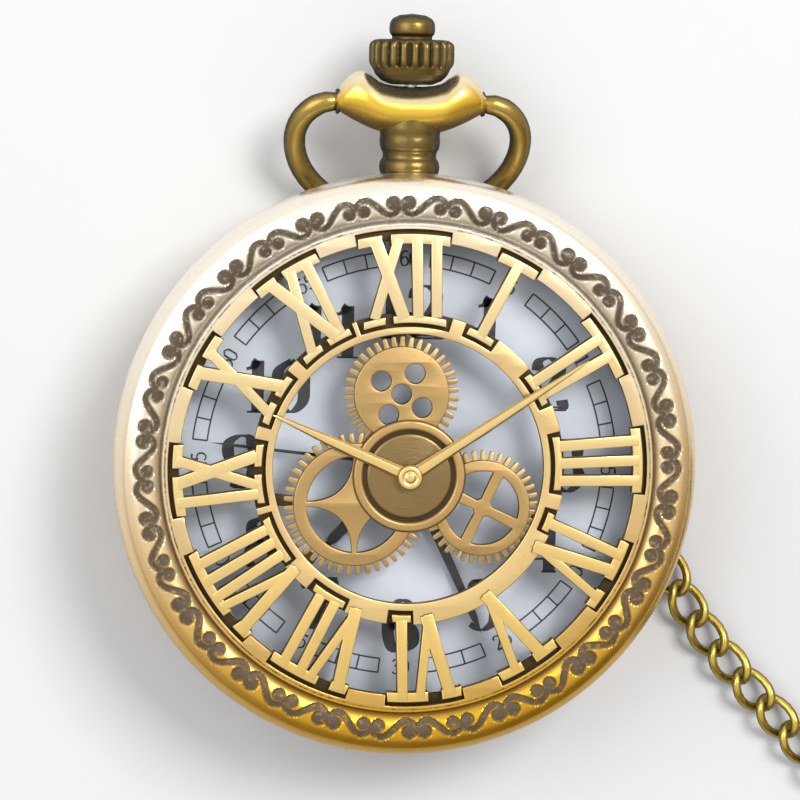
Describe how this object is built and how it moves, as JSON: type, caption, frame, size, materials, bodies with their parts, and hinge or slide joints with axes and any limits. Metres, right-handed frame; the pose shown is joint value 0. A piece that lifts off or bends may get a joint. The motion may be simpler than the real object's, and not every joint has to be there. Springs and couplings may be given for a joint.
{
  "type": "pocket watch",
  "caption": "Round pocket watch with a hinged openwork numeral cover, quartz movement, fluted crown, swinging bow and a chain with a clasp.",
  "frame": {"origin": "centre of the flat at the middle of the case back, the face the watch lies on", "axes": "+Z out of the dial, +Y to 12 o'clock and the crown, +X to 3 o'clock"},
  "size_m": [0.0946, 0.0703, 0.0133],
  "materials": {
    "bronze": "antique bronze plating, worn bright on its edges",
    "dark_bronze": "dark antique bronze plating",
    "gold": "polished gold plating",
    "olive_gold": "aged gold plating",
    "steel": "fine brushed",
    "movement_brass": "machined",
    "copper": "enamelled winding wire",
    "white": "matt white printed dial",
    "black": "satin black",
    "nylon": "moulded",
    "board": "solder mask",
    "rubber": "matt",
    "crystal": "clear, polished"
  },
  "bodies": {
    "case": {"back_cover": "bronze", "back_gasket": "rubber", "case_band": "bronze", "hinge_pin": "steel", "pendant": "bronze", "crystal_ring": "dark_bronze", "crystal": "crystal", "dial": "white", "movement_holder": "nylon", "lift_spring": "steel", "main_plate": "nylon", "train_bridge": "steel", "bridge_screw_1": "steel", "bridge_screw_2": "steel", "strap_screw": "steel", "coil_core": "steel", "coil_winding": "copper", "stator": "steel", "circuit_board": "board", "ic_chip": "black", "quartz_can": "steel", "battery": "steel", "battery_strap": "steel", "chain_run": "olive_gold", "chain_end": "olive_gold", "chain_coil": "olive_gold", "clasp_body": "olive_gold", "clasp_ring": "olive_gold"},
    "front_cover": {"front_cover": "bronze", "cover_hour_hand": "gold", "cover_minute_hand": "gold", "cover_cap": "gold"},
    "bow": {"bow": "dark_bronze", "jump_ring": "olive_gold"},
    "clutch": {"sliding_pinion": "steel"},
    "crown": {"stem": "steel", "crown": "dark_bronze", "button_spring": "steel"},
    "button": {"push_button": "bronze"},
    "catch": {"cover_catch": "steel"},
    "lever": {"setting_lever": "steel"},
    "centre": {"centre_wheel": "movement_brass", "minute_hand": "black"},
    "hour": {"hour_wheel": "movement_brass", "hour_hand": "black"},
    "seconds": {"fourth_wheel": "movement_brass", "second_hand": "black"},
    "third": {"third_wheel": "movement_brass"},
    "fifth": {"fifth_wheel": "movement_brass"},
    "rotor": {"rotor": "steel"},
    "minute_work": {"minute_wheel": "movement_brass"},
    "clasp_lever": {"clasp_lever": "olive_gold"}
  },
  "joints": [
    {"name": "cover_hinge", "type": "hinge", "parent": "case", "child": "front_cover", "pos_m": [0, -0.0222, 0.008], "axis": [1, 0, 0], "range_deg": [0, 100]},
    {"name": "bow_swing", "type": "hinge", "parent": "case", "child": "bow", "pos_m": [0, 0.0279, 0.0065], "axis": [1, 0, 0], "range_deg": [0, 268]},
    {"name": "crown_turn", "type": "hinge", "parent": "case", "child": "clutch", "pos_m": [0, 0.0065, 0.0065], "axis": [0, 1, 0], "continuous": true},
    {"name": "crown_pull", "type": "slide", "parent": "clutch", "child": "crown", "axis": [0, 1, 0], "range_m": [0, 0.001]},
    {"name": "button_press", "type": "slide", "parent": "crown", "child": "button", "axis": [0, -1, 0], "range_m": [0, 0.0008], "stiffness_N_per_m": 200, "springref_m": -0.001, "deforming": ["button_spring"]},
    {"name": "catch_swing", "type": "hinge", "parent": "case", "child": "catch", "pos_m": [0.00727, 0.01999, 0.0089], "axis": [0, 0, 1], "range_deg": [0, 1.6]},
    {"name": "lever_swing", "type": "hinge", "parent": "case", "child": "lever", "pos_m": [0.0025, 0.0103, 0.0065], "axis": [0, 0, -1], "range_deg": [0, 27.39]},
    {"name": "minute_turn", "type": "hinge", "parent": "case", "child": "centre", "pos_m": [0, 0, 0.0089], "axis": [0, 0, 1], "continuous": true},
    {"name": "hour_turn", "type": "hinge", "parent": "case", "child": "hour", "pos_m": [0, 0, 0.0085], "axis": [0, 0, 1], "continuous": true},
    {"name": "second_turn", "type": "hinge", "parent": "case", "child": "seconds", "pos_m": [0, 0, 0.00925], "axis": [0, 0, 1], "continuous": true},
    {"name": "third_turn", "type": "hinge", "parent": "case", "child": "third", "pos_m": [0.00184, 0.00318, 0.0031], "axis": [0, 0, 1], "continuous": true},
    {"name": "fifth_turn", "type": "hinge", "parent": "case", "child": "fifth", "pos_m": [-0.00295, -0.00206, 0.0024], "axis": [0, 0, 1], "continuous": true},
    {"name": "rotor_turn", "type": "hinge", "parent": "case", "child": "rotor", "pos_m": [-0.00391, -0.0047, 0.0035], "axis": [0, 0, 1], "continuous": true},
    {"name": "minute_work_turn", "type": "hinge", "parent": "case", "child": "minute_work", "pos_m": [0, 0.00288, 0.0057], "axis": [0, 0, 1], "continuous": true},
    {"name": "clasp_swing", "type": "hinge", "parent": "case", "child": "clasp_lever", "pos_m": [0.05337, -0.0151, 0.00125], "axis": [0, 0, -1], "range_deg": [0, 18], "stiffness_Nm_per_rad": 0.002, "springref_deg": -17.19}
  ],
  "couplings": [
    {"joint": "third_turn", "follows": "minute_turn", "ratio": -8},
    {"joint": "second_turn", "follows": "minute_turn", "ratio": 60},
    {"joint": "fifth_turn", "follows": "minute_turn", "ratio": -300},
    {"joint": "rotor_turn", "follows": "minute_turn", "ratio": 1800},
    {"joint": "minute_work_turn", "follows": "minute_turn", "ratio": -0.33333},
    {"joint": "hour_turn", "follows": "minute_turn", "ratio": 0.083333},
    {"joint": "catch_swing", "follows": "button_press", "rad_per_m": 32.725},
    {"joint": "lever_swing", "follows": "crown_pull", "rad_per_m": 469.41}
  ]
}
